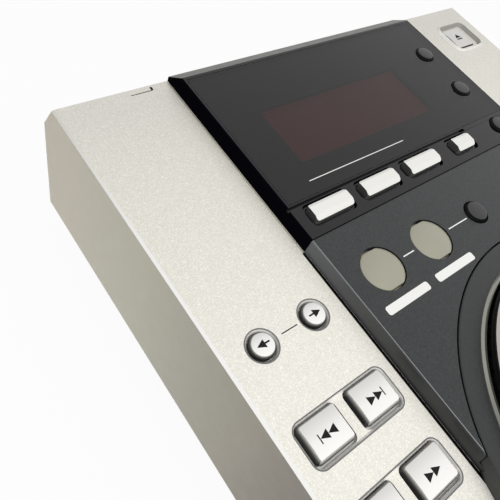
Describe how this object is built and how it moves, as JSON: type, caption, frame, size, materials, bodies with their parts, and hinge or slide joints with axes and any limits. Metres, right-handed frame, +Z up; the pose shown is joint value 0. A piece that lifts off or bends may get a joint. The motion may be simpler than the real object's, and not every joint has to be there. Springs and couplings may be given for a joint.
{
  "type": "tabletop disc player",
  "caption": "Compact tabletop disc player for mixing: silver case, raised dark panel with display and jog wheel, rimmed keys, tempo slider and a front disc slot with its drive.",
  "frame": {"origin": "on the table, under the middle of the case", "axes": "+Z up, +Y from the disc slot in front to the sockets at the rear, +X to the operator's right"},
  "size_m": [0.2178, 0.296, 0.1063],
  "materials": {
    "silver_shell": "silver lacquer with a fine metallic sparkle",
    "black_steel": "fine textured black powder coat",
    "panel_grey": "satin dark grey lacquer with a fine grain",
    "gloss_black": "polished black moulding",
    "smoked_window": "smoked acrylic, polished",
    "display_red": "dark red filter over unlit segments",
    "ring_grey": "satin dark grey",
    "frame_steel": "zinc-plated sheet",
    "socket_black": "moulded black",
    "circuit_green": "green solder mask",
    "supply_parts": "varnished transformer and board",
    "rubber_black": "matt rubber",
    "motor_can": "drawn steel can",
    "bright_steel": "ground steel",
    "felt_black": "short black felt",
    "socket_metal": "nickel-plated barrels in a black body",
    "screw_black": "black zinc",
    "jog_silver": "satin, turned",
    "jog_black": "moulded black",
    "knob_black": "fine-grained black",
    "gear_ivory": "natural acetal",
    "gear_brass": "turned brass",
    "key_silver": "silver lacquer",
    "key_white": "white top, dark grey flanks",
    "key_beige": "pale beige, satin",
    "key_dark": "soft black"
  },
  "bodies": {
    "case": {"top_cover": "silver_shell", "bottom_case": "black_steel", "control_panel": "panel_grey", "display_bezel": "gloss_black", "display_window": "smoked_window", "display_tube": "display_red", "jog_bezel": "ring_grey", "jog_bearing": "frame_steel", "jog_sensor": "socket_black", "main_board": "circuit_green", "panel_board": "circuit_green", "power_supply": "supply_parts", "mech_frame": "frame_steel", "mech_dampers": "rubber_black", "loading_motor": "motor_can", "spindle_motor": "motor_can", "sled_motor": "motor_can", "guide_rods": "bright_steel", "slot_felts": "felt_black", "rca_jacks": "socket_metal", "control_jack": "socket_black", "ac_inlet": "socket_black", "tempo_base": "motor_can", "rubber_feet": "rubber_black", "case_screws": "screw_black", "eject_pin": "bright_steel"},
    "jog": {"jog_plate": "jog_silver", "jog_rim": "jog_black", "jog_shaft": "bright_steel", "encoder_disc": "jog_black"},
    "tempo_knob": {"tempo_knob": "knob_black"},
    "power_button": {"power_button": "knob_black"},
    "turntable": {"turntable": "jog_black"},
    "clamper": {"disc_clamper": "gear_ivory"},
    "roller": {"loading_roller": "rubber_black"},
    "idler": {"idler_gear": "gear_ivory"},
    "load_pinion": {"motor_pinion": "gear_brass"},
    "sled": {"pickup_carriage": "jog_black"},
    "sled_pinion": {"sled_pinion": "gear_ivory"},
    "folder_back_body": {"folder_back_key": "key_silver"},
    "folder_forward_body": {"folder_forward_key": "key_silver"},
    "track_back_body": {"track_back_key": "key_silver"},
    "track_forward_body": {"track_forward_key": "key_silver"},
    "search_back_body": {"search_back_key": "key_silver"},
    "search_forward_body": {"search_forward_key": "key_silver"},
    "cue_body": {"cue_key": "key_silver"},
    "play_body": {"play_key": "key_silver"},
    "eject_body": {"eject_key": "key_silver"},
    "text_body": {"text_key": "key_dark"},
    "time_body": {"time_key": "key_dark"},
    "auto_cue_body": {"auto_cue_key": "key_dark"},
    "effect_key_1_body": {"effect_key_1": "key_white"},
    "effect_key_2_body": {"effect_key_2": "key_white"},
    "effect_key_3_body": {"effect_key_3": "key_white"},
    "hold_body": {"hold_key": "key_white"},
    "loop_in_body": {"loop_in_key": "key_beige"},
    "loop_out_body": {"loop_out_key": "key_beige"},
    "reloop_body": {"reloop_key": "key_dark"},
    "tempo_range_body": {"tempo_range_key": "key_silver"},
    "master_tempo_body": {"master_tempo_key": "key_silver"}
  },
  "joints": [
    {"name": "jog_spin", "type": "hinge", "parent": "case", "child": "jog", "pos_m": [-0.0034, -0.0409, 0.102], "axis": [0, 0, 1], "continuous": true},
    {"name": "tempo_slide", "type": "slide", "parent": "case", "child": "tempo_knob", "axis": [0, 1, 0], "range_m": [-0.03, 0.03]},
    {"name": "power_press", "type": "slide", "parent": "case", "child": "power_button", "axis": [0, -1, 0], "range_m": [0, 0.003], "stiffness_N_per_m": 600},
    {"name": "turntable_spin", "type": "hinge", "parent": "case", "child": "turntable", "pos_m": [-0.0034, -0.062, 0.0597], "axis": [0, 0, 1], "continuous": true},
    {"name": "clamper_spin", "type": "hinge", "parent": "case", "child": "clamper", "pos_m": [-0.0034, -0.062, 0.0677], "axis": [0, 0, 1], "continuous": true},
    {"name": "roller_spin", "type": "hinge", "parent": "case", "child": "roller", "pos_m": [-0.0034, -0.129, 0.0568], "axis": [1, 0, 0], "continuous": true},
    {"name": "idler_spin", "type": "hinge", "parent": "case", "child": "idler", "pos_m": [0.0666, -0.1114, 0.0568], "axis": [1, 0, 0], "continuous": true},
    {"name": "load_pinion_spin", "type": "hinge", "parent": "case", "child": "load_pinion", "pos_m": [0.0666, -0.09856, 0.0523], "axis": [1, 0, 0], "continuous": true},
    {"name": "sled_slide", "type": "slide", "parent": "case", "child": "sled", "axis": [0, 1, 0], "range_m": [0, 0.034]},
    {"name": "sled_pinion_spin", "type": "hinge", "parent": "case", "child": "sled_pinion", "pos_m": [0.0306, -0.016, 0.0504], "axis": [0, 0, 1], "range_deg": [-330, 0]},
    {"name": "folder_back_press", "type": "slide", "parent": "case", "child": "folder_back_body", "axis": [0, 0, -1], "range_m": [0, 0.0008], "stiffness_N_per_m": 600},
    {"name": "folder_forward_press", "type": "slide", "parent": "case", "child": "folder_forward_body", "axis": [0, 0, -1], "range_m": [0, 0.0008], "stiffness_N_per_m": 600},
    {"name": "track_back_press", "type": "slide", "parent": "case", "child": "track_back_body", "axis": [0, 0, -1], "range_m": [0, 0.0008], "stiffness_N_per_m": 600},
    {"name": "track_forward_press", "type": "slide", "parent": "case", "child": "track_forward_body", "axis": [0, 0, -1], "range_m": [0, 0.0008], "stiffness_N_per_m": 600},
    {"name": "search_back_press", "type": "slide", "parent": "case", "child": "search_back_body", "axis": [0, 0, -1], "range_m": [0, 0.0008], "stiffness_N_per_m": 600},
    {"name": "search_forward_press", "type": "slide", "parent": "case", "child": "search_forward_body", "axis": [0, 0, -1], "range_m": [0, 0.0008], "stiffness_N_per_m": 600},
    {"name": "cue_press", "type": "slide", "parent": "case", "child": "cue_body", "axis": [0, 0, -1], "range_m": [0, 0.0008], "stiffness_N_per_m": 600},
    {"name": "play_press", "type": "slide", "parent": "case", "child": "play_body", "axis": [0, 0, -1], "range_m": [0, 0.0008], "stiffness_N_per_m": 600},
    {"name": "eject_press", "type": "slide", "parent": "case", "child": "eject_body", "axis": [0, 0, -1], "range_m": [0, 0.0008], "stiffness_N_per_m": 600},
    {"name": "text_press", "type": "slide", "parent": "case", "child": "text_body", "axis": [0, 0, -1], "range_m": [0, 0.0008], "stiffness_N_per_m": 600},
    {"name": "time_press", "type": "slide", "parent": "case", "child": "time_body", "axis": [0, 0, -1], "range_m": [0, 0.0008], "stiffness_N_per_m": 600},
    {"name": "auto_cue_press", "type": "slide", "parent": "case", "child": "auto_cue_body", "axis": [0, 0, -1], "range_m": [0, 0.0008], "stiffness_N_per_m": 600},
    {"name": "effect_key_1_press", "type": "slide", "parent": "case", "child": "effect_key_1_body", "axis": [0, 0, -1], "range_m": [0, 0.0008], "stiffness_N_per_m": 600},
    {"name": "effect_key_2_press", "type": "slide", "parent": "case", "child": "effect_key_2_body", "axis": [0, 0, -1], "range_m": [0, 0.0008], "stiffness_N_per_m": 600},
    {"name": "effect_key_3_press", "type": "slide", "parent": "case", "child": "effect_key_3_body", "axis": [0, 0, -1], "range_m": [0, 0.0008], "stiffness_N_per_m": 600},
    {"name": "hold_press", "type": "slide", "parent": "case", "child": "hold_body", "axis": [0, 0, -1], "range_m": [0, 0.0008], "stiffness_N_per_m": 600},
    {"name": "loop_in_press", "type": "slide", "parent": "case", "child": "loop_in_body", "axis": [0, 0, -1], "range_m": [0, 0.0008], "stiffness_N_per_m": 600},
    {"name": "loop_out_press", "type": "slide", "parent": "case", "child": "loop_out_body", "axis": [0, 0, -1], "range_m": [0, 0.0008], "stiffness_N_per_m": 600},
    {"name": "reloop_press", "type": "slide", "parent": "case", "child": "reloop_body", "axis": [0, 0, -1], "range_m": [0, 0.0008], "stiffness_N_per_m": 600},
    {"name": "tempo_range_press", "type": "slide", "parent": "case", "child": "tempo_range_body", "axis": [0, 0, -1], "range_m": [0, 0.0008], "stiffness_N_per_m": 600},
    {"name": "master_tempo_press", "type": "slide", "parent": "case", "child": "master_tempo_body", "axis": [0, 0, -1], "range_m": [0, 0.0008], "stiffness_N_per_m": 600}
  ],
  "couplings": [
    {"joint": "idler_spin", "follows": "roller_spin", "ratio": -0.83333},
    {"joint": "load_pinion_spin", "follows": "roller_spin", "ratio": 2},
    {"joint": "sled_pinion_spin", "follows": "sled_slide", "rad_per_m": -166.67}
  ]
}
